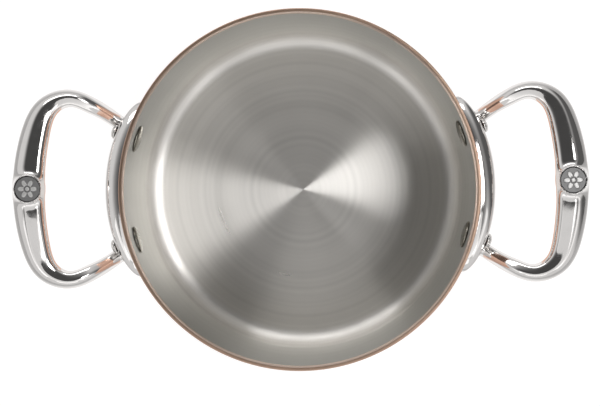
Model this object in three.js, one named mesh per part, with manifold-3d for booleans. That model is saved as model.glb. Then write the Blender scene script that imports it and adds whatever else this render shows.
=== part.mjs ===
// A small two-handled casserole of copper lined with stainless steel, without its lid.
// Millimetres, +Z up. The origin is the centre of the underside. The two handles point along X, each
// turned a little towards +Y.
import * as THREE from "three";
import { mergeVertices } from "three/addons/utils/BufferGeometryUtils.js";
import Module from "manifold-3d";

const wasm = await Module();
wasm.setup();

// ---- Driving dimensions -------------------------------------------------------------------------

const COOKING_RADIUS = 80;
const PAN_HEIGHT = 90;
const COPPER_THICKNESS = 1.55;
const LINING_THICKNESS = 0.9;
const BOND_GAP = 0.05;
const HEEL_RADIUS = 9; // the round between floor and wall, on the cooking side
const RIM_CHAMFER = 0.5;
const LINING_CHAMFER = 0.15;
const PAN_SEGMENTS = 64;
const HEEL_STEPS = 5;

const LINING_OUTER_RADIUS = COOKING_RADIUS + LINING_THICKNESS;
const COPPER_INNER_RADIUS = LINING_OUTER_RADIUS + BOND_GAP;
const COPPER_OUTER_RADIUS = COPPER_INNER_RADIUS + COPPER_THICKNESS;
const WALL = COPPER_OUTER_RADIUS - COOKING_RADIUS;

const FIT_GAP = 0.3; // between the handle, the rivets, the medallion and what they sit on

const HANDLE_TURN = THREE.MathUtils.degToRad(1.1); // of each handle, from the X axis towards +Y

// The mounting pad of a handle: a plate bent to the wall, with a crowned face and round ends.
const PAD_HEIGHT = 22;
const PAD_MIDDLE_Z = 71.5;
const PAD_HALF_ANGLE = THREE.MathUtils.degToRad(29.3);
const PAD_THICKNESS = 7.6;
const PAD_EDGE_THICKNESS = 1.2;
const PAD_OUTLINE = 2.2; // the exponent of the superellipse that bounds it
const PAD_FLATNESS = 4; // how flat its crowned face stays before it falls to the edge
const PAD_STEPS_AROUND = 28;
const PAD_STEPS_UP = 12;
const PAD_BACK_RADIUS = COPPER_OUTER_RADIUS + FIT_GAP;

// The loop that the fingers go through, from the middle of the grip to the root of one leg:
// x out from the pan's axis, y along the handle, the height, the bar's width and its thickness.
const LOOP_STATIONS = [
  { x: 124.6, y: 0, z: 84.7, width: 16.3, thickness: 8.4 },
  { x: 124.3, y: 9.7, z: 84.3, width: 15.1, thickness: 8.4 },
  { x: 123.1, y: 19.9, z: 83.1, width: 14.2, thickness: 8.3 },
  { x: 120.9, y: 30, z: 81.7, width: 13, thickness: 8.1 },
  { x: 116.4, y: 38, z: 80.4, width: 11, thickness: 7.8 },
  { x: 108.6, y: 41.9, z: 79.6, width: 8.7, thickness: 7.4 },
  { x: 101.1, y: 40.7, z: 78.4, width: 8.1, thickness: 7.1 },
  { x: 94.6, y: 37.5, z: 75.3, width: 7.7, thickness: 6.9 },
  { x: 88.1, y: 33.5, z: 70.7, width: 7.1, thickness: 6.8 },
  { x: 81.1, y: 28.1, z: 66.2, width: 7, thickness: 6.6 },
];
const LOOP_STEPS = 44;
const BAR_POINTS = 16;

// The bar's cross-section as the facets that bound it. Each is the direction it faces, in degrees from
// outwards through up, and its distance, with half the width and half the thickness both counted as 1.
const BAR_FACETS = [
  [0, 1],
  [33, 0.84],
  [61, 0.92],
  [107, 0.9],
  [153, 0.95],
  [180, 1],
  [225, 1.02],
  [270, 1],
  [315, 1.02],
];
const BAR_SHARPNESS = 12; // how crisply one facet turns into the next

const RIVET_ANGLE = THREE.MathUtils.degToRad(17.2); // from the middle of the handle
const RIVET_Z = 74;
const RIVET_SHANK_RADIUS = 3;
const INNER_HEAD = { radius: 6.3, height: 1.8 };
const OUTER_HEAD = { radius: 3.4, height: 2.3 };
const RIVET_SEGMENTS = 20;
const OUTER_SEAT_RADIUS = 89.4; // from the pan's axis to the flat seat cut in the pad
const CUT_END = OUTER_SEAT_RADIUS + 3.2; // how far out a rivet's hole and seat are cut

// The round medallion let into the top of the grip, and the boss that it sits in.
const MEDALLION_X = 124.3;
const MEDALLION_RADIUS = 5.7;
const MEDALLION_THICKNESS = 1.5;
const MEDALLION_EASE = 0.3; // the bevel around its edge
const MEDALLION_SINK = 0.5; // how far its field lies below the raised middle
const BOSS_RADIUS = 6.6;
const BOSS_FOOT_RADIUS = 7.6;
const BOSS_DEPTH = 4;
const BOSS_TOP_Z = 89.6;
const MEDALLION_TOP_Z = BOSS_TOP_Z - 0.2;
const ROUND_SEGMENTS = 32;

// ---- Materials ----------------------------------------------------------------------------------

const copper = new THREE.MeshStandardMaterial({ color: 0xc98a68, roughness: 0.22, metalness: 1 });
const satinSteel = new THREE.MeshStandardMaterial({ color: 0xb9b5ad, roughness: 0.38, metalness: 1 });
const polishedSteel = new THREE.MeshStandardMaterial({ color: 0xcfccca, roughness: 0.08, metalness: 1 });
const rivetSteel = new THREE.MeshStandardMaterial({ color: 0xa9a79c, roughness: 0.25, metalness: 1 });
const darkenedSteel = new THREE.MeshStandardMaterial({ color: 0x6f6d6b, roughness: 0.4, metalness: 1 });

// ---- Joining and cutting ------------------------------------------------------------------------

/** A closed three.js geometry as a solid that can be joined and cut. */
function solidOf(geometry) {
  const bare = new THREE.BufferGeometry();
  bare.setAttribute("position", geometry.getAttribute("position"));
  bare.setIndex(geometry.index);
  const merged = mergeVertices(bare, 1e-4);
  const mesh = new wasm.Mesh({
    numProp: 3,
    vertProperties: merged.attributes.position.array,
    triVerts: new Uint32Array(merged.index.array),
  });
  return new wasm.Manifold(mesh);
}

/** A solid back as a three.js geometry. */
function geometryOf(solid) {
  const { numProp, vertProperties, triVerts } = solid.getMesh();
  const positions = [];
  for (let i = 0; i < vertProperties.length; i += numProp) {
    positions.push(vertProperties[i], vertProperties[i + 1], vertProperties[i + 2]);
  }
  const geometry = new THREE.BufferGeometry();
  geometry.setAttribute("position", new THREE.Float32BufferAttribute(positions, 3));
  geometry.setIndex([...triVerts]);
  geometry.computeVertexNormals();
  return geometry;
}

/** A surface of revolution about Z, from [radius, height] points that go up the outside. */
function turned(points, segments) {
  const profile = points.map(([radius, height]) => new THREE.Vector2(radius, height));
  return new THREE.LatheGeometry(profile, segments).rotateX(Math.PI / 2);
}

/** The [radius, height] points of a round in a turned profile, without its two ends. */
function roundPoints(centreRadius, centreHeight, radius, fromDegrees, toDegrees, steps) {
  const points = [];
  for (let i = 1; i < steps; i++) {
    const angle = THREE.MathUtils.degToRad(THREE.MathUtils.lerp(fromDegrees, toDegrees, i / steps));
    points.push([centreRadius + radius * Math.cos(angle), centreHeight + radius * Math.sin(angle)]);
  }
  return points;
}

// ---- The pan ------------------------------------------------------------------------------------

/** A cup between two radii that share the heel's centre. Its floor is as thick as its wall. */
function cup(innerRadius, outerRadius, outerChamfer) {
  const heelCentreRadius = COOKING_RADIUS - HEEL_RADIUS;
  const heelCentreHeight = WALL + HEEL_RADIUS;
  const innerHeel = innerRadius - heelCentreRadius;
  const outerHeel = outerRadius - heelCentreRadius;
  return turned(
    [
      [0, heelCentreHeight - outerHeel],
      [heelCentreRadius, heelCentreHeight - outerHeel],
      ...roundPoints(heelCentreRadius, heelCentreHeight, outerHeel, -90, 0, HEEL_STEPS),
      [outerRadius, heelCentreHeight],
      [outerRadius, PAN_HEIGHT - outerChamfer],
      [outerRadius - outerChamfer, PAN_HEIGHT],
      [innerRadius, PAN_HEIGHT],
      [innerRadius, heelCentreHeight],
      ...roundPoints(heelCentreRadius, heelCentreHeight, innerHeel, 0, -90, HEEL_STEPS),
      [heelCentreRadius, heelCentreHeight - innerHeel],
      [0, heelCentreHeight - innerHeel],
    ],
    PAN_SEGMENTS,
  );
}

/** A cylinder along a rivet's axis, between two distances from the pan's axis. */
function radialCylinder(radius, from, to, angle) {
  return new THREE.CylinderGeometry(radius, radius, to - from, RIVET_SEGMENTS)
    .rotateZ(-Math.PI / 2)
    .translate((from + to) / 2, 0, RIVET_Z)
    .rotateZ(angle);
}

/** What drills a rivet's hole, from inside the pan out through the pad. */
function rivetHole(angle) {
  return radialCylinder(RIVET_SHANK_RADIUS + FIT_GAP, COOKING_RADIUS - 10, CUT_END, angle);
}

const handleDirections = { right: HANDLE_TURN, left: Math.PI - HANDLE_TURN };
const rivetAngles = Object.values(handleDirections).flatMap((direction) => [
  direction + RIVET_ANGLE,
  direction - RIVET_ANGLE,
]);

/** A cup with the four rivet holes through its wall. */
function drilledCup(innerRadius, outerRadius, outerChamfer) {
  let solid = solidOf(cup(innerRadius, outerRadius, outerChamfer));
  for (const angle of rivetAngles) {
    solid = solid.subtract(solidOf(rivetHole(angle)));
  }
  return geometryOf(solid);
}

const copperShell = () => drilledCup(COPPER_INNER_RADIUS, COPPER_OUTER_RADIUS, RIM_CHAMFER);
const steelLining = () => drilledCup(COOKING_RADIUS, LINING_OUTER_RADIUS, LINING_CHAMFER);

// ---- A handle -----------------------------------------------------------------------------------

/** A closed surface through rings of points, with a flat fan over the first ring and the last. */
function skinnedRings(rings) {
  const count = rings[0].length;
  const positions = rings.flat().flatMap((point) => point.toArray());
  const index = [];
  for (let ring = 0; ring + 1 < rings.length; ring++) {
    for (let i = 0; i < count; i++) {
      const a = ring * count + i;
      const b = ring * count + ((i + 1) % count);
      index.push(a, b, a + count, b, b + count, a + count);
    }
  }
  const last = (rings.length - 1) * count;
  for (let i = 1; i + 1 < count; i++) {
    index.push(0, i + 1, i);
    index.push(last, last + i, last + i + 1);
  }
  const geometry = new THREE.BufferGeometry();
  geometry.setAttribute("position", new THREE.Float32BufferAttribute(positions, 3));
  geometry.setIndex(index);
  return geometry;
}

/** How far the bar's skin lies from its centre line in one direction, as a share of its half size. */
function barReach(angle) {
  const sum = BAR_FACETS.reduce((total, [degrees, distance]) => {
    const towards = Math.cos(angle - THREE.MathUtils.degToRad(degrees)) / distance;
    return total + Math.max(0, towards) ** BAR_SHARPNESS;
  }, 0);
  return sum ** (-1 / BAR_SHARPNESS);
}

/** The loop of the handle: one bar of changing section, swept from root to root. */
function loop() {
  const otherHalf = LOOP_STATIONS.slice(1).map((station) => ({ ...station, y: -station.y }));
  const stations = [...otherHalf.reverse(), ...LOOP_STATIONS];
  const centre = new THREE.CatmullRomCurve3(stations.map(({ x, y, z }) => new THREE.Vector3(x, y, z)));
  const size = new THREE.CatmullRomCurve3(
    stations.map(({ width, thickness }) => new THREE.Vector3(width / 2, thickness / 2, 0)),
  );
  const rings = [];
  for (let step = 0; step <= LOOP_STEPS; step++) {
    const at = step / LOOP_STEPS;
    const middle = centre.getPoint(at);
    const along = centre.getTangent(at);
    const outwards = new THREE.Vector3(along.y, -along.x, 0).normalize();
    const halves = size.getPoint(at);
    const ring = [];
    for (let i = 0; i < BAR_POINTS; i++) {
      const angle = (-2 * Math.PI * i) / BAR_POINTS;
      const reach = barReach(angle);
      const point = middle.clone().addScaledVector(outwards, reach * halves.x * Math.cos(angle));
      point.z += reach * halves.y * Math.sin(angle);
      ring.push(point);
    }
    rings.push(ring);
  }
  return skinnedRings(rings);
}

/** The pad's thickness, by how far out a place lies from the middle (0) to the edge (1). */
function padThickness(around, up) {
  const crown = ((1 - around ** PAD_FLATNESS) * (1 - up ** PAD_FLATNESS)) ** 0.6;
  return PAD_EDGE_THICKNESS + (PAD_THICKNESS - PAD_EDGE_THICKNESS) * crown;
}

/** The pad: an upright D-shaped section, carried round the pan's axis and rounding off at both ends. */
function pad() {
  const rings = [];
  for (let step = 0; step <= PAD_STEPS_AROUND; step++) {
    const around = 0.997 * Math.sin(((step / PAD_STEPS_AROUND) * 2 - 1) * (Math.PI / 2));
    const reach = (1 - Math.abs(around) ** PAD_OUTLINE) ** (1 / PAD_OUTLINE);
    const at = (radius, up) => {
      const angle = PAD_HALF_ANGLE * around;
      const height = PAD_MIDDLE_Z + (PAD_HEIGHT / 2) * up;
      return new THREE.Vector3(radius * Math.cos(angle), radius * Math.sin(angle), height);
    };
    const ring = [at(PAD_BACK_RADIUS, -reach), at(PAD_BACK_RADIUS, reach)];
    for (let i = 0; i <= PAD_STEPS_UP; i++) {
      const up = Math.cos((Math.PI * i) / PAD_STEPS_UP);
      ring.push(at(PAD_BACK_RADIUS + padThickness(Math.abs(around), Math.abs(up)), reach * up));
    }
    rings.push(ring);
  }
  return skinnedRings(rings);
}

/** One handle as it is cast: pad and loop in one piece, with rivet holes and the medallion's seat. */
function handle() {
  const boss = new THREE.CylinderGeometry(BOSS_RADIUS, BOSS_FOOT_RADIUS, BOSS_DEPTH, ROUND_SEGMENTS)
    .rotateX(Math.PI / 2)
    .translate(MEDALLION_X, 0, BOSS_TOP_Z - BOSS_DEPTH / 2);
  const seatDepth = MEDALLION_THICKNESS + BOSS_TOP_Z - MEDALLION_TOP_Z + FIT_GAP;
  const seat = new THREE.CylinderGeometry(
    MEDALLION_RADIUS + FIT_GAP,
    MEDALLION_RADIUS + FIT_GAP,
    2 * seatDepth,
    ROUND_SEGMENTS,
  )
    .rotateX(Math.PI / 2)
    .translate(MEDALLION_X, 0, BOSS_TOP_Z);
  let solid = solidOf(pad()).add(solidOf(loop())).add(solidOf(boss)).subtract(solidOf(seat));
  for (const angle of [RIVET_ANGLE, -RIVET_ANGLE]) {
    const headSeat = radialCylinder(OUTER_HEAD.radius + FIT_GAP, OUTER_SEAT_RADIUS, CUT_END, angle);
    solid = solid.subtract(solidOf(rivetHole(angle))).subtract(solidOf(headSeat));
  }
  return geometryOf(solid);
}

/** A solid rivet that lies along X: a low head inside the pan, and a taller one on the pad. */
function rivet() {
  const innerFace = COOKING_RADIUS - FIT_GAP - INNER_HEAD.radius ** 2 / (2 * COOKING_RADIUS);
  const outerFace = OUTER_SEAT_RADIUS + FIT_GAP;
  const dome = (head, face, towards, from, to) =>
    roundPoints(0, 0, 1, from, to, 5).map(([across, up]) => [
      head.radius * across,
      face + towards * head.height * up,
    ]);
  const points = [
    [0, innerFace - INNER_HEAD.height],
    ...dome(INNER_HEAD, innerFace, -1, 90, 0),
    [INNER_HEAD.radius, innerFace],
    [RIVET_SHANK_RADIUS, innerFace],
    [RIVET_SHANK_RADIUS, outerFace],
    [OUTER_HEAD.radius, outerFace],
    ...dome(OUTER_HEAD, outerFace, 1, 0, 90),
    [0, outerFace + OUTER_HEAD.height],
  ];
  return turned(points, RIVET_SEGMENTS).rotateY(Math.PI / 2);
}

/** The round medallion in the grip: a disc with a plain raised boss at its centre. */
function medallion() {
  const field = MEDALLION_THICKNESS - MEDALLION_SINK;
  const points = [
    [0, 0],
    [MEDALLION_RADIUS, 0],
    [MEDALLION_RADIUS, field - MEDALLION_EASE],
    [MEDALLION_RADIUS - MEDALLION_EASE, field],
    [(2 * MEDALLION_RADIUS) / 3, field],
    [MEDALLION_RADIUS / 2, MEDALLION_THICKNESS],
    [0, MEDALLION_THICKNESS],
  ];
  return turned(points, ROUND_SEGMENTS);
}

// ---- Assembly -----------------------------------------------------------------------------------

function named(name, geometry, material) {
  const mesh = new THREE.Mesh(geometry, material);
  mesh.name = name;
  return mesh;
}

/** A handle with its medallion and its two rivets, along +X before it is turned. */
function handleGroup(side, rivetNames) {
  const group = new THREE.Group();
  group.rotation.z = handleDirections[side];
  group.add(named(`${side}_handle`, handle(), polishedSteel));

  const disc = named(`${side}_medallion`, medallion(), darkenedSteel);
  disc.position.set(MEDALLION_X, 0, MEDALLION_TOP_Z - MEDALLION_THICKNESS);
  group.add(disc);

  for (const [name, angle] of Object.entries(rivetNames)) {
    const pin = named(`${side}_${name}_rivet`, rivet(), rivetSteel);
    pin.position.z = RIVET_Z;
    pin.rotation.z = angle;
    group.add(pin);
  }
  return group;
}

const casserole = new THREE.Group();
casserole.add(named("copper_shell", copperShell(), copper));
casserole.add(named("steel_lining", steelLining(), satinSteel));
casserole.add(handleGroup("right", { back: RIVET_ANGLE, front: -RIVET_ANGLE }));
casserole.add(handleGroup("left", { front: RIVET_ANGLE, back: -RIVET_ANGLE }));

export default casserole;
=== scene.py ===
"""The looks of a two-handled copper saucepan, seen from above: spun steel inside, polished copper
outside, mirror-polished cast handles, rivets and a plain rosette in each grip."""

import math

import bpy
import numpy as np
from mathutils import Matrix, Vector


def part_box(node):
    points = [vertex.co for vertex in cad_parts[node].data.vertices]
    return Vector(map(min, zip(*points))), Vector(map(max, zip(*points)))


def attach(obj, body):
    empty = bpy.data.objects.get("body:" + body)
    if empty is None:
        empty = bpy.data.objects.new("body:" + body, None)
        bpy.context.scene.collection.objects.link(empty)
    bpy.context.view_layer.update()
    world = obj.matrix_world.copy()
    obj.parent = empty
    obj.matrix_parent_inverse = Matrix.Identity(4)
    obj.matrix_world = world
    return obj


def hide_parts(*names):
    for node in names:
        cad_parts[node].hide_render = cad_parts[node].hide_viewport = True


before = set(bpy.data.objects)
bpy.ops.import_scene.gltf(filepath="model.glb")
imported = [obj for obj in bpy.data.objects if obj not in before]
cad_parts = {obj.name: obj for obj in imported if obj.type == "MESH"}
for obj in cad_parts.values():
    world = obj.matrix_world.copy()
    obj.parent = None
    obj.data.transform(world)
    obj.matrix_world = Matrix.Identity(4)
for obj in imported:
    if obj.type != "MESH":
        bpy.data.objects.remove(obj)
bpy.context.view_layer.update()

# ---- Sizes, in millimetres unless a name says otherwise ------------------------------------------

MM = 0.001  # metres


def box_mm(node):
    """The lowest and highest corner of a CAD node."""
    low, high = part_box(node)
    return np.array(low) / MM, np.array(high) / MM


SHELL_HIGH = box_mm("copper_shell")[1]
LINING_HIGH = box_mm("steel_lining")[1]
HANDLE_LOW, HANDLE_HIGH = box_mm("right_handle")
MEDALLION_LOW, MEDALLION_HIGH = box_mm("right_medallion")
RIVET_LOW, RIVET_HIGH = box_mm("right_back_rivet")

COPPER_OUTER_RADIUS = SHELL_HIGH[0]
PAN_HEIGHT = SHELL_HIGH[2]
LINING_OUTER_RADIUS = LINING_HIGH[0]
LINING_THICKNESS = 0.9
BOND_GAP = 0.05  # between the lining and the copper
COOKING_RADIUS = LINING_OUTER_RADIUS - LINING_THICKNESS
COPPER_INNER_RADIUS = LINING_OUTER_RADIUS + BOND_GAP
WALL_THICKNESS = COPPER_OUTER_RADIUS - COOKING_RADIUS
HEEL_RADIUS = 9.0
HEEL_CENTRE_RADIUS = COOKING_RADIUS - HEEL_RADIUS
HEEL_CENTRE_HEIGHT = WALL_THICKNESS + HEEL_RADIUS
PAN_SEGMENTS = 320
FLOOR_CROWN = 0.03  # how steeply the inside floor falls away from its middle, as the light shows

HANDLE_TURN = math.radians(1.1)  # of each handle, from the X axis towards +Y
HANDLE_DIRECTIONS = {"right": HANDLE_TURN, "left": math.pi - HANDLE_TURN}

RIVET_ANGLE = math.radians(17.2)  # from the middle of the handle
RIVET_HEIGHT = (RIVET_LOW[2] + RIVET_HIGH[2]) / 2
RIVET_HOLE_RADIUS = 3.3
RIVET_SHANK_RADIUS = 3.0
INNER_HEAD_RADIUS, INNER_HEAD_HEIGHT = 6.3, 1.8
OUTER_HEAD_RADIUS, OUTER_HEAD_HEIGHT = 3.4, 2.3
HEAD_LIP = 0.25  # how high a head's edge stands before its dome starts
HEAD_UNDERCUT = 0.12  # how far a head's underside lies inside its edge
FIT_GAP = 0.3
OUTER_SEAT = 89.4  # from the pan's axis to where the outer heads sit on the pads
OUTER_SEAT_END = OUTER_SEAT + 3.2
DRILL_START, DRILL_END = 70, 95  # from the pan's axis, on either side of the wall

PAD_BACK = COPPER_OUTER_RADIUS + FIT_GAP
PAD_THICKNESS = 7.6
PAD_HALF_ANGLE = math.radians(29.3)
PAD_MIDDLE = 71.5
PAD_HALF_HEIGHT = 11.0

MEDALLION_X = math.hypot(*(MEDALLION_LOW + MEDALLION_HIGH)[:2]) / 2
MEDALLION_RADIUS = (MEDALLION_HIGH[0] - MEDALLION_LOW[0]) / 2
MEDALLION_TOP = MEDALLION_HIGH[2]
MEDALLION_BOTTOM = MEDALLION_LOW[2]
MEDALLION_EASE = 0.1
ROSETTE_DEPTH = 0.55  # how far the field around the rosette is sunk
PETAL_START, PETAL_END = 1.5, 4.5
BEAD_RADIUS = 1.1
BOSS_TOP = HANDLE_HIGH[2]

# ---- Mesh helpers --------------------------------------------------------------------------------


def new_object(name, points_mm, faces, material, normals=None):
    """A smooth-shaded mesh object from points in millimetres."""
    mesh = bpy.data.meshes.new(name)
    mesh.from_pydata((np.asarray(points_mm) * MM).tolist(), [], faces)
    mesh.validate()
    mesh.shade_smooth()
    if normals is not None:
        mesh.normals_split_custom_set_from_vertices(normals.tolist())
    mesh.materials.append(material)
    piece = bpy.data.objects.new(name, mesh)
    bpy.context.scene.collection.objects.link(piece)
    return piece


def arc(centre, radius, start, end, steps):
    """[radius, height] points along a round between two angles in degrees, ends included."""
    angles = np.radians(np.linspace(start, end, steps + 1))
    return [(centre[0] + radius * math.cos(a), centre[1] + radius * math.sin(a)) for a in angles]


def line(start, end, steps):
    """[radius, height] points along a straight stretch, without its two ends."""
    (r0, h0), (r1, h1) = start, end
    return [(r0 + (r1 - r0) * s, h0 + (h1 - h0) * s) for s in np.arange(1, steps) / steps]


def turned(profile, segments):
    """Points and faces of a solid turned about Z, from a profile that starts and ends on it."""
    around = np.arange(segments) * 2 * math.pi / segments
    points = [(0, 0, profile[0][1])]
    for radius, height in profile[1:-1]:
        points += [(radius * math.cos(a), radius * math.sin(a), height) for a in around]
    points.append((0, 0, profile[-1][1]))
    faces = []
    rings = len(profile) - 2
    for i in range(segments):
        j = (i + 1) % segments
        faces.append((0, 1 + j, 1 + i))
        for ring in range(rings - 1):
            a, b = 1 + ring * segments + i, 1 + ring * segments + j
            faces.append((a, b, b + segments, a + segments))
        last = 1 + (rings - 1) * segments
        faces.append((last + i, last + j, len(points) - 1))
    return np.array(points, float), faces


def turned_by(angle):
    """What rows of points are multiplied by to turn them about Z."""
    return np.array(Matrix.Rotation(angle, 3, "Z")).T


def cut_holes(piece, radius):
    """Drills the four rivet holes through a turned wall."""
    drill = [(0, DRILL_START), (radius, DRILL_START), (radius, DRILL_END), (0, DRILL_END)]
    cutters = []
    for direction in HANDLE_DIRECTIONS.values():
        for angle in (RIVET_ANGLE, -RIVET_ANGLE):
            cutter = new_object("drill", *turned(drill, 32), piece.data.materials[0])
            turn = Matrix.Rotation(direction + angle, 4, "Z") @ Matrix.Rotation(math.pi / 2, 4, "Y")
            cutter.matrix_world = Matrix.Translation((0, 0, RIVET_HEIGHT * MM)) @ turn
            cutters.append(cutter)
    for cutter in cutters:
        cut = piece.modifiers.new("drill", "BOOLEAN")
        cut.operation, cut.solver, cut.object = "DIFFERENCE", "EXACT", cutter
    bpy.context.view_layer.update()
    evaluated = piece.evaluated_get(bpy.context.evaluated_depsgraph_get())
    drilled = bpy.data.meshes.new_from_object(evaluated)
    piece.modifiers.clear()
    piece.data = drilled
    for cutter in cutters:
        bpy.data.objects.remove(cutter)


# ---- Materials -----------------------------------------------------------------------------------


class Shader:
    """A Principled material, with short ways to add the nodes that vary it."""

    def __init__(self, name, **inputs):
        self.material = bpy.data.materials.new(name)
        self.material.use_nodes = True
        self.tree = self.material.node_tree
        self.surface = self.tree.nodes["Principled BSDF"]
        for key, value in inputs.items():
            self.surface.inputs[key.replace("_", " ")].default_value = value

    def node(self, kind, links=None, **settings):
        """A node of one kind. links fills its inputs, each from a socket or a value."""
        made = self.tree.nodes.new(kind)
        for key, value in settings.items():
            setattr(made, key, value)
        for key, value in (links or {}).items():
            socket = made.inputs[key]
            if isinstance(value, bpy.types.NodeSocket):
                self.tree.links.new(value, socket)
            else:
                socket.default_value = value
        return made

    def maths(self, operation, a, b=0.0):
        """One sum on one or two numbers."""
        return self.node("ShaderNodeMath", {0: a, 1: b}, operation=operation).outputs[0]

    def place(self):
        """The place on the object, in millimetres."""
        where = self.node("ShaderNodeTexCoord").outputs["Object"]
        links = {0: where, 3: 1 / MM}
        return self.node("ShaderNodeVectorMath", links, operation="SCALE").outputs[0]

    def noise(self, vector, scale, detail=2.0):
        """Cloudy noise, from 0 to 1."""
        links = {"Vector": vector, "Scale": scale, "Detail": detail}
        return self.node("ShaderNodeTexNoise", links).outputs["Fac"]

    def lines(self, along, scale, detail=2.0):
        """Noise that changes in one direction only."""
        links = {"W": along, "Scale": scale, "Detail": detail}
        return self.node("ShaderNodeTexNoise", links, noise_dimensions="1D").outputs["Fac"]

    def ranged(self, value, low, high, from_low=0.0, from_high=1.0):
        """A value stretched from one range to low and high, and held there beyond them."""
        links = {0: value, 1: from_low, 2: from_high, 3: low, 4: high}
        return self.node("ShaderNodeMapRange", links).outputs[0]

    def mixed(self, share, first, second):
        """One colour blending into another."""
        made = self.node("ShaderNodeMix", {"Factor": share}, data_type="RGBA")
        for key, value in (("A", first), ("B", second)):
            socket = next(s for s in made.inputs if s.name == key and s.type == "RGBA")
            if isinstance(value, bpy.types.NodeSocket):
                self.tree.links.new(value, socket)
            else:
                socket.default_value = (*value, 1.0)
        return next(s for s in made.outputs if s.type == "RGBA")

    def set(self, name, socket):
        """Drives one input of the surface."""
        self.tree.links.new(socket, self.surface.inputs[name])

    def bump(self, height, distance_mm):
        """Fine relief in the shading: a height, and how many millimetres 1 of it is."""
        links = {"Height": height, "Distance": distance_mm * MM, "Strength": 1.0}
        self.set("Normal", self.node("ShaderNodeBump", links).outputs[0])


def spun_steel():
    """The lining: fine rings left by the spinning tool, which draw the light out into fans."""
    steel = Shader("spun_steel", Metallic=1.0, Roughness=0.3, Anisotropic=1.0,
                   Anisotropic_Rotation=0.25)
    tangent = steel.node("ShaderNodeTangent", direction_type="RADIAL", axis="Z").outputs[0]
    steel.set("Tangent", tangent)
    place = steel.place()
    parts = steel.node("ShaderNodeSeparateXYZ", {0: place}).outputs
    squared = steel.maths("ADD", steel.maths("MULTIPLY", parts[0], parts[0]),
                          steel.maths("MULTIPLY", parts[1], parts[1]))
    radius = steel.maths("SQRT", squared)
    along = steel.maths("ADD", radius, parts[2])
    fine = steel.lines(along, 0.5, 0.3)
    coarse = steel.lines(along, 0.12, 2.0)
    clouds = steel.noise(place, 0.035, 2.0)
    rim = steel.ranged(parts[2], 0.0, 1.0, PAN_HEIGHT - 0.5, PAN_HEIGHT - 0.3)
    grain = steel.maths("MULTIPLY", steel.maths("ADD", fine, coarse), 0.5)
    floor_colour = steel.mixed(grain, (0.795, 0.77, 0.735), (0.96, 0.93, 0.89))
    # The upper wall is painted darker towards the rim: painted shade, carried on through
    # wall_colour and skin_colour into the base colour.
    painted_shade_to_the_rim = steel.ranged(parts[2], 0.0, 1.0, WALL_THICKNESS + 11, PAN_HEIGHT)
    wall_colour = steel.mixed(painted_shade_to_the_rim, (0.64, 0.625, 0.583), (0.49, 0.478, 0.446))
    up_the_wall = steel.ranged(parts[2], 0.0, 1.0, WALL_THICKNESS + 3, WALL_THICKNESS + 11)
    skin_colour = steel.mixed(up_the_wall, floor_colour, wall_colour)
    steel.set("Base Color", steel.mixed(rim, skin_colour, (0.72, 0.58, 0.49)))
    satin = steel.ranged(steel.maths("ADD", coarse, clouds), 0.27, 0.33, 0.6, 1.4)
    duller = steel.maths("MULTIPLY", steel.maths("MAXIMUM", up_the_wall, rim), 0.1)
    steel.set("Roughness", steel.maths("ADD", satin, duller))
    falling = steel.maths("SUBTRACT", steel.maths("MULTIPLY", fine, 0.02), radius)
    steel.bump(falling, FLOOR_CROWN)
    return steel.material


def polished_copper():
    """The outside: buffed copper with a faint lay from the buffing wheel and a little tarnish."""
    copper = Shader("polished_copper", Metallic=1.0, Roughness=0.2)
    place = copper.place()
    height = copper.node("ShaderNodeSeparateXYZ", {0: place}).outputs[2]
    lay = copper.lines(height, 2.5, 3.0)
    clouds = copper.noise(place, 0.045, 3.0)
    rim = copper.ranged(height, 0.0, 1.0, PAN_HEIGHT - 0.45, PAN_HEIGHT - 0.15)
    wall_colour = copper.mixed(clouds, (0.80, 0.49, 0.36), (0.89, 0.59, 0.46))
    copper.set("Base Color", copper.mixed(rim, wall_colour, (0.47, 0.325, 0.245)))
    buffed = copper.ranged(copper.maths("ADD", lay, clouds), 0.13, 0.24, 0.7, 1.3)
    copper.set("Roughness", copper.maths("ADD", buffed, copper.maths("MULTIPLY", rim, 0.18)))
    copper.bump(lay, 0.004)
    return copper.material


def mirror_steel():
    """The handles: cast steel under a mirror polish, which leaves a very slight waviness."""
    steel = Shader("mirror_steel", Metallic=1.0, Roughness=0.07)
    place = steel.place()
    clouds = steel.noise(place, 0.09, 3.0)
    steel.set("Base Color", steel.mixed(clouds, (0.75, 0.725, 0.71), (0.82, 0.80, 0.785)))
    steel.set("Roughness", steel.ranged(steel.noise(place, 0.25, 4.0), 0.04, 0.11, 0.35, 0.65))
    steel.bump(steel.noise(place, 0.12, 2.0), 0.03)
    return steel.material


def rivet_steel():
    """The rivet heads: satin steel, a little uneven from the hammer, and painted darker inside the
    pan as painted shade.
    """
    steel = Shader("rivet_steel", Metallic=1.0, Roughness=0.25)
    place = steel.place()
    parts = steel.node("ShaderNodeSeparateXYZ", {0: place}).outputs
    # Inside the pan the heads get a darker, browner colour than outside: painted shade, with the
    # dents varying its tone.
    outside = steel.ranged(steel.maths("ABSOLUTE", parts[0]), 0.0, 1.0, 79.0, 82.0)
    dents = steel.noise(place, 0.7, 2.0)
    painted_shade_and_dents = steel.mixed(dents, (0.30, 0.28, 0.24), (0.42, 0.40, 0.35))
    steel.set("Base Color", steel.mixed(outside, painted_shade_and_dents, (0.66, 0.64, 0.62)))
    steel.set("Roughness", steel.ranged(steel.noise(place, 2.0, 3.0), 0.18, 0.32, 0.3, 0.7))
    steel.bump(dents, 0.12)
    return steel.material


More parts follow.
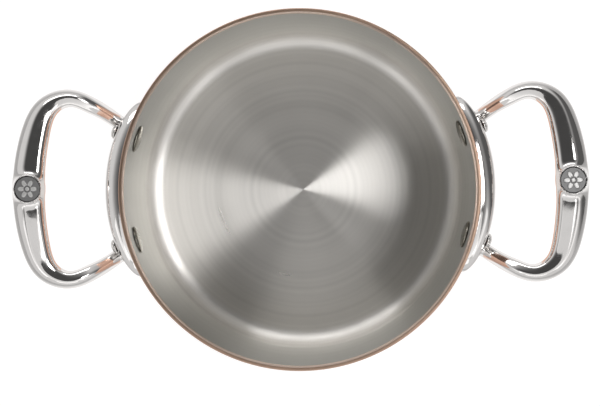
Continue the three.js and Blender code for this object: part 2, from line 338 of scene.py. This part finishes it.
def darkened_steel():
    """The medallions: bright where they stand out, dark in the sunk field."""
    steel = Shader("darkened_steel", Metallic=1.0, Roughness=0.35)
    place = steel.place()
    height = steel.node("ShaderNodeSeparateXYZ", {0: place}).outputs[2]
    raised = steel.ranged(height, 0.0, 1.0, MEDALLION_TOP - 0.42, MEDALLION_TOP - 0.2)
    grain = steel.noise(place, 3.0, 3.0)
    dark = steel.mixed(grain, (0.2, 0.198, 0.2), (0.34, 0.335, 0.33))
    bright = steel.mixed(grain, (0.64, 0.63, 0.62), (0.76, 0.75, 0.74))
    steel.set("Base Color", steel.mixed(raised, dark, bright))
    steel.set("Roughness", steel.ranged(raised, 0.55, 0.48))
    steel.bump(grain, 0.03)
    return steel.material


# ---- The pan -------------------------------------------------------------------------------------


def shell_profile():
    """The copper: flat underside, round heel, straight wall, and a rim with its two edges eased."""
    centre = (HEEL_CENTRE_RADIUS, HEEL_CENTRE_HEIGHT)
    outer_heel = COPPER_OUTER_RADIUS - HEEL_CENTRE_RADIUS
    inner_heel = COPPER_INNER_RADIUS - HEEL_CENTRE_RADIUS
    outer_ease, inner_ease = 0.5, 0.12
    floor_top = HEEL_CENTRE_HEIGHT - inner_heel
    wall_foot = (COPPER_OUTER_RADIUS, HEEL_CENTRE_HEIGHT)
    rim_out = (COPPER_OUTER_RADIUS - outer_ease, PAN_HEIGHT - outer_ease)
    rim_in = (COPPER_INNER_RADIUS + inner_ease, PAN_HEIGHT - inner_ease)
    inner_foot = (COPPER_INNER_RADIUS, HEEL_CENTRE_HEIGHT)
    return [
        (0, 0),
        *line((0, 0), (HEEL_CENTRE_RADIUS, 0), 12),
        *arc(centre, outer_heel, -90, 0, 20),
        *line(wall_foot, (COPPER_OUTER_RADIUS, rim_out[1]), 26),
        *arc(rim_out, outer_ease, 0, 90, 5),
        *arc(rim_in, inner_ease, 90, 180, 5),
        *line((COPPER_INNER_RADIUS, rim_in[1]), inner_foot, 26),
        *arc(centre, inner_heel, 0, -90, 12),
        *line((HEEL_CENTRE_RADIUS, floor_top), (0, floor_top), 6),
        (0, floor_top),
    ]


def lining_profile():
    """The steel skin inside the copper, eased at the rim."""
    centre = (HEEL_CENTRE_RADIUS, HEEL_CENTRE_HEIGHT)
    outer_heel = LINING_OUTER_RADIUS - HEEL_CENTRE_RADIUS
    floor_bottom = HEEL_CENTRE_HEIGHT - outer_heel
    ease = 0.4
    top = PAN_HEIGHT
    rim = (COOKING_RADIUS + ease, top - ease)
    return [
        (0, floor_bottom),
        *line((0, floor_bottom), (HEEL_CENTRE_RADIUS, floor_bottom), 6),
        *arc(centre, outer_heel, -90, 0, 12),
        *line((LINING_OUTER_RADIUS, HEEL_CENTRE_HEIGHT), (LINING_OUTER_RADIUS, top), 26),
        (LINING_OUTER_RADIUS, top),
        *arc(rim, ease, 90, 180, 5),
        *line((COOKING_RADIUS, rim[1]), (COOKING_RADIUS, HEEL_CENTRE_HEIGHT), 26),
        *arc(centre, HEEL_RADIUS, 0, -90, 24),
        *line((HEEL_CENTRE_RADIUS, WALL_THICKNESS), (0, WALL_THICKNESS), 16),
        (0, WALL_THICKNESS),
    ]


def make_cup(name, profile, material, node):
    """One layer of the pan, drilled for the rivets."""
    points, faces = turned(profile, PAN_SEGMENTS)
    piece = new_object(name, points, faces, material)
    cut_holes(piece, RIVET_HOLE_RADIUS)
    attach(piece, "root")
    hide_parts(node)
    return piece


# ---- The handles ---------------------------------------------------------------------------------

# The loop's middle line from one leg's root to the middle of the grip, as control points of a cubic
# B-spline: out from the axis, along the handle, height, half the width, half the thickness.
LEG_TO_GRIP = np.array([
    (71.9, 20.9, 61.0, 3.5, 3.3),
    (81.1, 28.1, 66.0, 3.5, 3.3),
    (90.3, 35.3, 72.0, 3.5, 3.4),
    (98.0, 39.4, 78.2, 4.2, 3.5),
    (107.0, 43.6, 79.6, 3.9, 3.7),
    (118.6, 38.2, 80.4, 5.8, 3.9),
    (122.2, 26.0, 82.3, 6.9, 4.1),
    (124.3, 12.4, 84.2, 7.4, 4.2),
    (124.8, 0.0, 84.9, 7.6, 4.2),
])

# The bar's section as the flats that bound it: the way each faces, in degrees from outwards through
# up, and how far off it lies, counting half the width and half the thickness as 1.
BAR_FLATS = ((0, 1.0), (33, 0.84), (61, 0.92), (107, 0.9), (153, 0.95), (180, 1.0), (225, 1.02),
             (270, 1.0), (315, 1.02))
BAR_CRISPNESS = 14
PAD_FLATS = ((0, 1.0), (60, 1.09), (84, 0.995))
PAD_CRISPNESS = 14
PAD_BACK_ROUND = 1.0
PAD_DEPTH_OUTLINE = 2.5  # how square the pad's ends are from above, where 2 makes an oval
PAD_HEIGHT_OUTLINE = 2.2  # the same from the front
CELL = 0.6  # the size of the mesh's quads
BATCH = 20000  # how many places are looked up at a time, to save memory
LEG_BLEND = 3.0
BOSS_BLEND = 4.0
BOSS_RADIUS = 6.2
BOSS_FLARE = 0.3
BOSS_DEPTH = 4.0
SEAT_RADIUS = MEDALLION_RADIUS + FIT_GAP
SEAT_FLOOR = MEDALLION_BOTTOM - FIT_GAP


def control_points():
    """The whole loop's control points, from one root over the grip to the other."""
    other = LEG_TO_GRIP[-2::-1] * np.array([1, -1, 1, 1, 1])
    return np.vstack([LEG_TO_GRIP, other])


def spline(t, order=0):
    """The loop's values at t, which runs from 0 to 1, or their first or second change with t."""
    points = control_points()
    spans = len(points) - 3
    s = np.clip(t, 0, 1) * spans
    i = np.minimum(s.astype(int), spans - 1)
    f = s - i
    if order == 0:
        weights = [(1 - f) ** 3, 3 * f**3 - 6 * f**2 + 4, -3 * f**3 + 3 * f**2 + 3 * f + 1, f**3]
    elif order == 1:
        weights = [-3 * (1 - f) ** 2, 9 * f**2 - 12 * f, -9 * f**2 + 6 * f + 3, 3 * f**2]
    else:
        weights = [6 * (1 - f), 18 * f - 12, -18 * f + 6, 6 * f]
    total = sum(w[:, None] * points[i + k] for k, w in enumerate(weights))
    return total / 6 * spans**order


def nearest_on_loop(plan):
    """For each place in plan, where on the loop's middle line it is nearest to."""
    samples = np.linspace(0, 1, 181)
    line_xy = spline(samples)[:, :2]
    t = np.empty(len(plan))
    for start in range(0, len(plan), BATCH):
        part = plan[start:start + BATCH]
        away = ((part[:, None, :] - line_xy[None]) ** 2).sum(2)
        t[start:start + BATCH] = samples[away.argmin(1)]
    for _ in range(4):
        gap = spline(t)[:, :2] - plan
        speed, turn = spline(t, 1)[:, :2], spline(t, 2)[:, :2]
        slope = (gap * speed).sum(1)
        curve = np.maximum((speed**2).sum(1) + (gap * turn).sum(1), 1.0)
        t = np.clip(t - np.clip(slope / curve, -0.01, 0.01), 0, 1)
    return t


def gauge(flats, crispness, across, up):
    """How far out a place lies in a section, with its skin at 1."""
    total = np.zeros_like(across)
    for degrees, distance in flats:
        angle = math.radians(degrees)
        reach = across * math.cos(angle) + up * math.sin(angle)
        total += np.maximum(0, reach / distance) ** crispness
    return total ** (1 / crispness)


def from_gauge(value, size):
    """Roughly a distance, from a gauge and the distance to the section's middle."""
    return size * (1 - 1 / np.maximum(value, 1e-6))


def smooth_min(a, b, blend):
    """The lower of two, rounded over where they are close: a fillet where two solids meet."""
    h = np.maximum(blend - np.abs(a - b), 0) / blend
    return np.minimum(a, b) - h**3 * blend / 6


def smooth_max(a, b, blend):
    """The higher of two, rounded over where they are close: an eased edge."""
    return -smooth_min(-a, -b, blend)


def loop_field(p):
    """Below zero inside the bar that runs from one leg's root over the grip to the other."""
    t = nearest_on_loop(p[:, :2])
    at, speed = spline(t), spline(t, 1)[:, :2]
    speed /= np.linalg.norm(speed, axis=1)[:, None]
    gap = p[:, :2] - at[:, :2]
    across = -(gap[:, 0] * speed[:, 1] - gap[:, 1] * speed[:, 0])
    up = p[:, 2] - at[:, 2]
    value = gauge(BAR_FLATS, BAR_CRISPNESS, across / at[:, 3], up / at[:, 4])
    return from_gauge(value, np.hypot(across, up))


def pad_field(p):
    """Below zero inside the pad, which follows the wall and thins out towards its ends."""
    radius = np.hypot(p[:, 0], p[:, 1])
    share = np.abs(np.arctan2(p[:, 1], p[:, 0])) / PAD_HALF_ANGLE
    inside = np.minimum(share, 0.998)
    deep = (1 - inside**PAD_DEPTH_OUTLINE) ** (1 / PAD_DEPTH_OUTLINE)
    tall = (1 - inside**PAD_HEIGHT_OUTLINE) ** (1 / PAD_HEIGHT_OUTLINE)
    out = (radius - PAD_BACK) / (PAD_THICKNESS * deep)
    up = np.abs(p[:, 2] - PAD_MIDDLE) / (PAD_HALF_HEIGHT * tall)
    value = gauge(PAD_FLATS, PAD_CRISPNESS, np.maximum(out, 0), up)
    size = np.hypot(np.maximum(radius - PAD_BACK, 0), p[:, 2] - PAD_MIDDLE)
    front = from_gauge(value, size)
    beyond = (share - inside) * PAD_HALF_ANGLE * radius
    return smooth_max(front + beyond, PAD_BACK - radius, PAD_BACK_ROUND)


def stub_field(p, radius, flare, low, high, blend):
    """An upright round stub at the medallion, which widens downwards by its flare."""
    side = np.hypot(p[:, 0] - MEDALLION_X, p[:, 1]) - radius - flare * (high - p[:, 2])
    ends = np.maximum(p[:, 2] - high, low - p[:, 2])
    return smooth_max(side, ends, blend)


def rivet_field(p, sign, radius, start, end):
    """A cylinder along a rivet's axis, between two distances from the pan's axis."""
    axis = np.array([math.cos(RIVET_ANGLE), sign * math.sin(RIVET_ANGLE)])
    along = p[:, :2] @ axis
    beside = p[:, 0] * axis[1] - p[:, 1] * axis[0]
    away = np.hypot(beside, p[:, 2] - RIVET_HEIGHT)
    return np.maximum(away - radius, np.maximum(start - along, along - end))


def handle_field(p):
    """Below zero inside the handle."""
    radius = np.hypot(p[:, 0], p[:, 1])
    bar = smooth_max(loop_field(p), PAD_BACK + 1.0 - radius, 0.5)
    solid = smooth_min(bar, pad_field(p), LEG_BLEND)
    boss = stub_field(p, BOSS_RADIUS, BOSS_FLARE, BOSS_TOP - BOSS_DEPTH, BOSS_TOP, 0.9)
    solid = smooth_min(solid, boss, BOSS_BLEND)
    solid = smooth_max(solid, p[:, 2] - BOSS_TOP, 0.3)
    seat = stub_field(p, SEAT_RADIUS, 0.0, SEAT_FLOOR, BOSS_TOP + 5, 0.1)
    solid = smooth_max(solid, -seat, 0.25)
    for sign in (1, -1):
        hole = rivet_field(p, sign, RIVET_HOLE_RADIUS, 0, OUTER_SEAT_END)
        seat = rivet_field(p, sign, OUTER_HEAD_RADIUS + FIT_GAP, OUTER_SEAT, OUTER_SEAT_END)
        solid = smooth_max(smooth_max(solid, -hole, 0.1), -seat, 0.3)
    return solid


def slope_of(field, p):
    """The field's gradient."""
    step = 0.01
    slope = np.empty_like(p)
    for axis in range(3):
        shift = np.zeros(3)
        shift[axis] = step
        slope[:, axis] = (field(p + shift) - field(p - shift)) / (2 * step)
    return slope


def settle(field, p, rounds):
    """Moves points onto the surface where the field is zero."""
    for _ in range(rounds):
        value, slope = field(p), slope_of(field, p)
        step = -value / np.maximum((slope**2).sum(1), 1e-3)
        move = slope * step[:, None]
        length = np.linalg.norm(move, axis=1)
        p = p + move * np.minimum(1, CELL / np.maximum(length, 1e-9))[:, None]
    return p


def skin(field, low, high):
    """The surface where a field is zero, as quads with a point in each cell that it crosses."""
    counts = np.ceil((high - low) / CELL).astype(int) + 1
    axes = [low[k] + CELL * np.arange(counts[k]) for k in range(3)]
    grid = np.stack(np.meshgrid(*axes, indexing="ij"), -1)
    values = field(grid.reshape(-1, 3)).reshape(counts)
    inside = values < 0
    corners = sum(inside[i:counts[0] - 1 + i, j:counts[1] - 1 + j, k:counts[2] - 1 + k].astype(int)
                  for i in (0, 1) for j in (0, 1) for k in (0, 1))
    crossed = (corners > 0) & (corners < 8)
    number = np.full(crossed.shape, -1)
    number[crossed] = np.arange(crossed.sum())
    points = low + CELL * (np.argwhere(crossed) + 0.5)
    quads = []
    for axis in range(3):
        near = np.moveaxis(inside, axis, 0)
        cells = np.moveaxis(number, axis, 0)
        here, there = near[:-1, 1:-1, 1:-1], near[1:, 1:-1, 1:-1]
        a, b, c, d = cells[:, :-1, :-1], cells[:, 1:, :-1], cells[:, 1:, 1:], cells[:, :-1, 1:]
        ring = np.stack([a, b, c, d], -1)
        out = here & ~there
        into = ~here & there
        forward, back = (into, out) if axis == 1 else (out, into)
        quads.append(ring[forward])
        quads.append(ring[back][:, ::-1])
    return points, np.concatenate(quads)


def even_out(points, quads, field, rounds):
    """Spreads the points evenly over the surface, so that the quads are regular."""
    for _ in range(rounds):
        total, count = np.zeros_like(points), np.zeros(len(points))
        for k in range(4):
            for other in (quads[:, (k + 1) % 4], quads[:, (k + 3) % 4]):
                np.add.at(total, quads[:, k], points[other])
                np.add.at(count, quads[:, k], 1)
        points = settle(field, 0.5 * points + 0.5 * total / count[:, None], 1)
    return points


def make_handles(material):
    """Both handles, from one mesh: front and back mirror each other, so a turn is enough."""
    margin = 3 * CELL
    half_length = (HANDLE_HIGH - HANDLE_LOW)[1] / 2 + 1
    low = np.array([HANDLE_LOW[0], -half_length, HANDLE_LOW[2]]) - margin
    high = np.array([HANDLE_HIGH[0], half_length, HANDLE_HIGH[2]]) + margin
    points, quads = skin(handle_field, low, high)
    points = settle(handle_field, points, 3)
    points = even_out(points, quads, handle_field, 3)
    points = settle(handle_field, points, 2)
    normals = slope_of(handle_field, points)
    normals /= np.linalg.norm(normals, axis=1)[:, None]
    for side, direction in HANDLE_DIRECTIONS.items():
        turn = turned_by(direction)
        name = f"{side}_loop_handle"
        piece = new_object(name, points @ turn, quads.tolist(), material, normals @ turn)
        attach(piece, "root")
        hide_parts(f"{side}_handle")


# ---- Rivets and medallions -----------------------------------------------------------------------


def rivet_profile():
    """A rivet standing on its axis: low wide head inside the pan, taller narrow head on the pad."""
    inner_face = COOKING_RADIUS - FIT_GAP - INNER_HEAD_RADIUS**2 / (2 * COOKING_RADIUS)
    outer_face = OUTER_SEAT + FIT_GAP

    def dome(radius, height, face, towards, start, end):
        """A quarter of an oval, standing on a low lip."""
        angles = np.radians(np.linspace(start, end, 13))
        heights = HEAD_LIP + (height - HEAD_LIP) * np.sin(angles)
        return list(zip(radius * np.cos(angles), face + towards * heights))

    return [
        (0, inner_face - INNER_HEAD_HEIGHT),
        *dome(INNER_HEAD_RADIUS, INNER_HEAD_HEIGHT, inner_face, -1, 82, 0),
        (INNER_HEAD_RADIUS - HEAD_UNDERCUT, inner_face),
        (RIVET_SHANK_RADIUS, inner_face),
        (RIVET_SHANK_RADIUS, outer_face),
        (OUTER_HEAD_RADIUS - HEAD_UNDERCUT, outer_face),
        *dome(OUTER_HEAD_RADIUS, OUTER_HEAD_HEIGHT, outer_face, 1, 0, 82),
        (0, outer_face + OUTER_HEAD_HEIGHT),
    ]


def make_rivets(material):
    """The four rivets, each lying along its axis."""
    points, faces = turned(rivet_profile(), 64)
    lying = points[:, [2, 1, 0]] * np.array([1, 1, -1])
    for side, direction in HANDLE_DIRECTIONS.items():
        for sign in (1, -1):
            angle = direction + sign * RIVET_ANGLE
            end = "back" if math.sin(angle) > 0 else "front"
            placed = lying @ turned_by(angle) + np.array([0, 0, RIVET_HEIGHT])
            piece = new_object(f"{side}_{end}_rivet_dome", placed, faces, material)
            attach(piece, "root")
            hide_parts(f"{side}_{end}_rivet")


def rosette_height(radius, angle):
    """How high the rosette stands at a place, up to 1: six petals around a middle bead."""
    petal_reach = PETAL_END * np.abs(np.cos(3 * angle)) ** 0.6
    outer_side = np.clip((petal_reach - radius) / 0.4, 0, 1)
    inner_side = np.clip((radius - PETAL_START) / 0.3, 0, 1)
    bead = np.clip((BEAD_RADIUS - radius) / 0.3, 0, 1)
    raised = np.maximum(outer_side * inner_side, bead)
    return raised * raised * (3 - 2 * raised)


def make_medallions(material):
    """Both medallions: a disc with an eased edge, whose top carries the rosette."""
    rings, segments = 44, 120
    radii = np.linspace(0, MEDALLION_RADIUS - MEDALLION_EASE, rings + 1)[1:]
    around = np.arange(segments) * 2 * math.pi / segments
    field = MEDALLION_TOP - ROSETTE_DEPTH
    points = [(0, 0, field + ROSETTE_DEPTH * rosette_height(0.0, 0.0))]
    for radius in radii:
        for angle in around:
            height = field + ROSETTE_DEPTH * rosette_height(radius, angle)
            points.append((radius * math.cos(angle), radius * math.sin(angle), height))
    for radius, height in ((MEDALLION_RADIUS, field - MEDALLION_EASE),
                           (MEDALLION_RADIUS, MEDALLION_BOTTOM)):
        points += [(radius * math.cos(a), radius * math.sin(a), height) for a in around]
    points.append((0, 0, MEDALLION_BOTTOM))
    faces = []
    for i in range(segments):
        j = (i + 1) % segments
        faces.append((0, 1 + i, 1 + j))
        for ring in range(rings + 1):
            a, b = 1 + ring * segments + i, 1 + ring * segments + j
            faces.append((a, a + segments, b + segments, b))
        last = 1 + (rings + 1) * segments
        faces.append((last + j, last + i, len(points) - 1))
    points = np.array(points)
    for side, direction in HANDLE_DIRECTIONS.items():
        placed = (points + np.array([MEDALLION_X, 0, 0])) @ turned_by(direction)
        piece = new_object(f"{side}_rosette", placed, faces, material)
        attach(piece, "root")
        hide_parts(f"{side}_medallion")


# ---- Camera, floor and light ---------------------------------------------------------------------

CAMERA_ABOVE_RIM = 700
WIDTH_SEEN_AT_RIM = 272.4
CAMERA_ASIDE = (18.0, 1.2)
AIM = (0.3, -6.0)
CAMERA_ROLL = math.radians(0.95)

# Each soft light: the way it lies from the pan (degrees round from +X, then degrees down from
# straight up), its width and height in metres, and how bright it is, with plain white as 1.
SOFTBOXES = {
    "key": (10, 26, 0.62, 0.42, 5.2),
    "key_core": (12, 20, 0.45, 0.2, 2.2),
    "right_front_top": (325, 23, 0.38, 0.32, 1.0),
    "front_wide": (268, 29, 2.0, 0.95, 0.7),
    "back_low": (100, 52, 1.3, 0.34, 3.2),
    "front_left_low": (215, 52, 0.8, 0.34, 0.5),
    "front_low": (268, 54, 1.0, 0.34, 0.6),
    "front_right_low": (325, 52, 0.95, 0.34, 0.4),
}
SOFTBOX_DISTANCE = 1.5  # metres
WALL_LIGHT = 0.75
CEILING_LIGHT = 0.07
SCREEN_AZIMUTH = math.radians(20)
FLOOR_HALF_SIDE = 4000
FLOOR_GLOW_NEAR, FLOOR_GLOW_FAR = 0.82, 0.25
FLOOR_BRIGHT_TO, FLOOR_DIM_FROM = 200, 420  # from the pan's axis


def add_camera():
    """Straight above the pan, a little to the right of its axis."""
    data = bpy.data.cameras.new("camera")
    data.sensor_width = 36
    data.lens = data.sensor_width * CAMERA_ABOVE_RIM / WIDTH_SEEN_AT_RIM
    camera = bpy.data.objects.new("camera", data)
    bpy.context.scene.collection.objects.link(camera)
    place = Vector((*CAMERA_ASIDE, PAN_HEIGHT + CAMERA_ABOVE_RIM))
    back = (place - Vector((*AIM, PAN_HEIGHT))).normalized()
    up = Vector((math.sin(CAMERA_ROLL), math.cos(CAMERA_ROLL), 0))
    right = up.cross(back).normalized()
    up = back.cross(right)
    turn = Matrix((right, up, back)).transposed()
    camera.matrix_world = Matrix.Translation(place * MM) @ turn.to_4x4()
    bpy.context.scene.camera = camera


def add_floor():
    """A wide pale floor under the pan, whose light falls off away from the middle."""
    paint = Shader("floor", Base_Color=(0.3, 0.3, 0.3, 1), Emission_Color=(1, 1, 1, 1))
    length = paint.node("ShaderNodeVectorMath", {0: paint.place()}, operation="LENGTH")
    glow = (FLOOR_GLOW_NEAR, FLOOR_GLOW_FAR, FLOOR_BRIGHT_TO, FLOOR_DIM_FROM)
    paint.set("Emission Strength", paint.ranged(length.outputs["Value"], *glow))
    paint.set("Roughness", paint.ranged(paint.noise(paint.place(), 0.01), 0.55, 0.7))
    side = FLOOR_HALF_SIDE
    corners = [(-side, -side, 0), (side, -side, 0), (side, side, 0), (-side, side, 0)]
    floor = new_object("floor", corners, [(0, 1, 2, 3)], paint.material)


def add_softbox(name, azimuth, zenith, width, height, radiance):
    """A rectangular soft light that faces the pan. Its angles are seen from the pan, in degrees."""
    data = bpy.data.lights.new(name, "AREA")
    data.shape, data.size, data.size_y = "RECTANGLE", width, height
    data.energy = math.pi * width * height * radiance
    light = bpy.data.objects.new(name, data)
    bpy.context.scene.collection.objects.link(light)
    around, down = math.radians(azimuth), math.radians(zenith)
    outwards = Vector((math.cos(around), math.sin(around), 0))
    away = outwards * math.sin(down) + Vector((0, 0, math.cos(down)))
    side = Vector((-math.sin(around), math.cos(around), 0))
    turn = Matrix((side, away.cross(side), away)).transposed()
    light.matrix_world = Matrix.Translation(away * SOFTBOX_DISTANCE) @ turn.to_4x4()


def add_sky():
    """The studio around the pan: pale walls, a dim ceiling, and a dark screen on the right."""
    world = bpy.data.worlds.new("studio")
    bpy.context.scene.world = world
    world.use_nodes = True
    tree = world.node_tree

    def smooth(value, low, high, at_low, at_high):
        """An even change from one value to another."""
        ramp = tree.nodes.new("ShaderNodeMapRange")
        ramp.interpolation_type = "SMOOTHSTEP"
        tree.links.new(value, ramp.inputs[0])
        for i, number in enumerate((low, high, at_low, at_high), start=1):
            ramp.inputs[i].default_value = number
        return ramp.outputs[0]

    place = tree.nodes.new("ShaderNodeTexCoord").outputs["Generated"]
    parts = tree.nodes.new("ShaderNodeSeparateXYZ")
    tree.links.new(place, parts.inputs[0])
    rightwards = tree.nodes.new("ShaderNodeVectorMath")
    rightwards.operation = "DOT_PRODUCT"
    tree.links.new(place, rightwards.inputs[0])
    rightwards.inputs[1].default_value = (math.cos(SCREEN_AZIMUTH), math.sin(SCREEN_AZIMUTH), 0)
    screened = tree.nodes.new("ShaderNodeMath")
    screened.operation = "MULTIPLY"
    room = smooth(parts.outputs[2], 0.5, 0.92, WALL_LIGHT, CEILING_LIGHT)
    screen = smooth(rightwards.outputs["Value"], 0.6, 0.85, 1.0, 0.15)
    tree.links.new(room, screened.inputs[0])
    tree.links.new(screen, screened.inputs[1])
    background = tree.nodes["Background"]
    tree.links.new(screened.outputs[0], background.inputs["Strength"])
    background.inputs["Color"].default_value = (1, 1, 1, 1)


# ---- The scene -----------------------------------------------------------------------------------

add_camera()
add_floor()
add_sky()
for light_name, light in SOFTBOXES.items():
    add_softbox(light_name, *light)

make_cup("copper_body", shell_profile(), polished_copper(), "copper_shell")
make_cup("spun_lining", lining_profile(), spun_steel(), "steel_lining")
make_handles(mirror_steel())
make_rivets(rivet_steel())
make_medallions(darkened_steel())

bpy.context.scene.view_settings.view_transform = "Standard"
